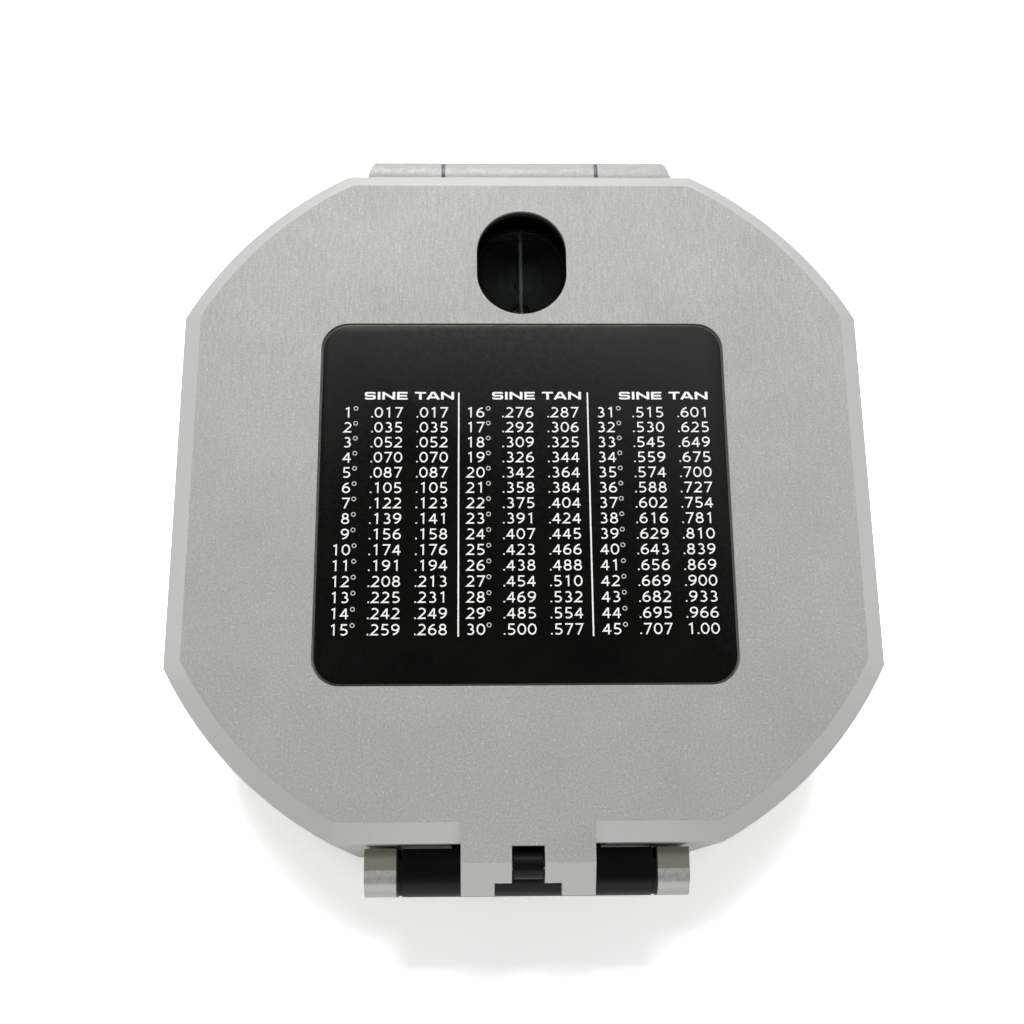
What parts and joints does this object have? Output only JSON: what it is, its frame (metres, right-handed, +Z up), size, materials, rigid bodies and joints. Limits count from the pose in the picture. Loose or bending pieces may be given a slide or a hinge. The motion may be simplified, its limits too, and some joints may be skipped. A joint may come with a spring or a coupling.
{
  "type": "pocket transit",
  "caption": "Pocket transit: compass, clinometer and folding sights in a flat metal case whose mirrored lid has a sighting window and a table of sines and tangents.",
  "frame": {"origin": "middle of the base's underside, under the clinometer shaft", "axes": "+Z up from the base to the lid's face, +Y towards the lid hinge, +X to the right seen from above"},
  "size_m": [0.071, 0.0797, 0.033],
  "materials": {
    "silver_body": "bead blasted, clear anodised",
    "black_sight": "black anodised, satin",
    "table_plate": "black, screen printed, satin",
    "steel": "bright",
    "brass": "turned",
    "copper": "turned",
    "clear_glass": "polished",
    "mirror_glass": "silvered, with a clear window and an axial line",
    "level_spirit": "clear yellow-green liquid",
    "dial_white": "matt, printed scales",
    "gasket_rubber": "matt",
    "jewel": "polished sapphire"
  },
  "bodies": {
    "case": {"body_case": "silver_body", "lid_hinge_pin": "steel", "lid_hinge_washers": "steel", "sight_pin": "steel", "sight_washers": "black_sight", "dial_glass": "clear_glass", "glass_gasket": "gasket_rubber", "bezel_ring": "black_sight", "ring_snap_wire": "steel", "index_pin": "steel", "dial_plate": "dial_white", "dial_plate_screws": "steel", "bullseye_cup": "brass", "bullseye_liquid": "level_spirit", "bullseye_lens": "clear_glass", "pinion_bushing": "brass", "lever_bracket": "steel", "lever_fulcrum_pin": "steel"},
    "clinometer": {"clinometer_shaft": "brass", "vernier_lever": "silver_body", "lever_screw": "steel", "clinometer_spring_washer": "steel", "vernier_arm": "dial_white", "vial_holder": "brass", "vial_glass": "clear_glass", "vial_liquid": "level_spirit", "vial_plugs": "dial_white", "damping_disc": "copper", "pivot_post": "steel"},
    "needle_bearing": {"needle_jewel": "jewel"},
    "needle": {"needle_blade": "steel", "needle_hub": "brass", "needle_magnet": "steel", "needle_balance": "copper"},
    "azimuth": {"azimuth_ring": "dial_white"},
    "pinion": {"declination_pinion": "brass"},
    "lift_button": {"lift_pin": "steel"},
    "lift_arm": {"lift_lever": "brass"},
    "cover": {"lid": "silver_body", "table_plate": "table_plate", "mirror": "mirror_glass", "mirror_ring": "black_sight", "small_sight_pin": "steel"},
    "peep_sight": {"small_sight": "black_sight"},
    "large_sight": {"sight_arm": "black_sight", "tip_pin": "steel"},
    "folding_tip": {"sight_tip": "black_sight"}
  },
  "joints": [
    {"name": "lid_hinge", "type": "hinge", "parent": "case", "child": "cover", "pos_m": [0, 0.0365, 0.027], "axis": [-1, 0, 0], "range_deg": [0, 180]},
    {"name": "large_sight_hinge", "type": "hinge", "parent": "case", "child": "large_sight", "pos_m": [0, -0.038, 0.0264], "axis": [1, 0, 0], "range_deg": [0, 180]},
    {"name": "sight_tip_hinge", "type": "hinge", "parent": "large_sight", "child": "folding_tip", "pos_m": [0, 0.01625, 0.0259], "axis": [-1, 0, 0], "range_deg": [0, 90]},
    {"name": "small_sight_hinge", "type": "hinge", "parent": "cover", "child": "peep_sight", "pos_m": [0, -0.0375, 0.0313], "axis": [-1, 0, 0], "range_deg": [0, 180]},
    {"name": "clinometer_turn", "type": "hinge", "parent": "case", "child": "clinometer", "pos_m": [0, 0, 0.01], "axis": [0, 0, 1], "range_deg": [-90, 90]},
    {"name": "azimuth_turn", "type": "hinge", "parent": "case", "child": "azimuth", "pos_m": [0, 0, 0.0186], "axis": [0, 0, 1], "continuous": true},
    {"name": "pinion_turn", "type": "hinge", "parent": "case", "child": "pinion", "pos_m": [-0.02121, 0.02121, 0.01364], "axis": [-0.7071, 0.7071, 0], "continuous": true},
    {"name": "needle_drop", "type": "slide", "parent": "case", "child": "needle_bearing", "axis": [0, 0, -1], "range_m": [0, 0.001]},
    {"name": "needle_turn", "type": "hinge", "parent": "needle_bearing", "child": "needle", "pos_m": [0, 0, 0.0182], "axis": [0, 0, 1], "continuous": true},
    {"name": "lift_button_rise", "type": "slide", "parent": "case", "child": "lift_button", "axis": [0, 0, 1], "range_m": [0, 0.0006]},
    {"name": "lift_arm_tilt", "type": "hinge", "parent": "case", "child": "lift_arm", "pos_m": [0.01697, -0.01697, 0.0145], "axis": [-0.7071, -0.7071, 0], "range_deg": [0, 3.2]}
  ],
  "couplings": [
    {"joint": "large_sight_hinge", "follows": "lid_hinge", "ratio": 0.27},
    {"joint": "sight_tip_hinge", "follows": "lid_hinge", "ratio": 0.5},
    {"joint": "small_sight_hinge", "follows": "lid_hinge", "ratio": 1},
    {"joint": "needle_drop", "follows": "lid_hinge", "m_per_rad": 0.000318},
    {"joint": "lift_button_rise", "follows": "lid_hinge", "m_per_rad": 0.00019},
    {"joint": "lift_arm_tilt", "follows": "lid_hinge", "ratio": 0.0173},
    {"joint": "pinion_turn", "follows": "azimuth_turn", "ratio": -8}
  ]
}
